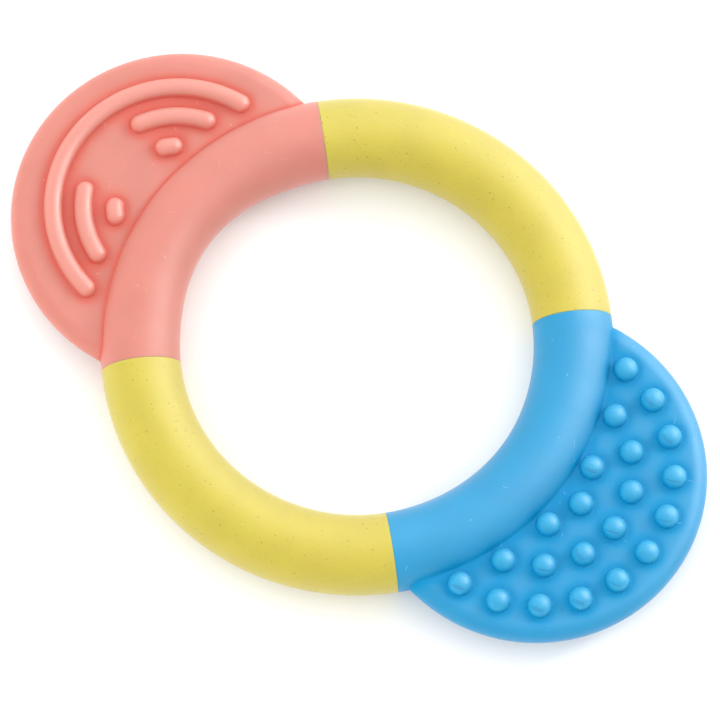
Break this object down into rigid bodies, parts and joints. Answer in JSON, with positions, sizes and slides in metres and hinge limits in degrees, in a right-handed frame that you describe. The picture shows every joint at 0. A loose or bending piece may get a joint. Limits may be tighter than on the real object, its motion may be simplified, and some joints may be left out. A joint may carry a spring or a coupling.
{
  "type": "teething ring",
  "caption": "Round tube ring in coloured arcs with a ribbed soft disc on one side and a nubbed soft disc on the other, held and chewed by a baby.",
  "frame": {"origin": "centre of the ring, at the mid height of the tube", "axes": "+X from the ring's centre towards the middle of the blue disc, -X towards the coral disc, +Z out of the ring's plane, +Y towards the middle of the rear yellow arc"},
  "size_m": [0.138, 0.09, 0.014],
  "materials": {
    "coral_rubber": "satin soft thermoplastic rubber, coral",
    "blue_rubber": "satin soft thermoplastic rubber, sky blue",
    "yellow_plastic": "matte plant-filled plastic with fine dark specks, pale yellow",
    "white_plastic": "unpainted off-white moulding, hidden inside"
  },
  "bodies": {
    "root": {"coral_grip": "coral_rubber", "coral_grip_insert": "white_plastic", "blue_grip": "blue_rubber", "blue_grip_insert": "white_plastic", "rear_arc_top_shell": "yellow_plastic", "rear_arc_bottom_shell": "yellow_plastic", "front_arc_top_shell": "yellow_plastic", "front_arc_bottom_shell": "yellow_plastic"}
  },
  "joints": []
}
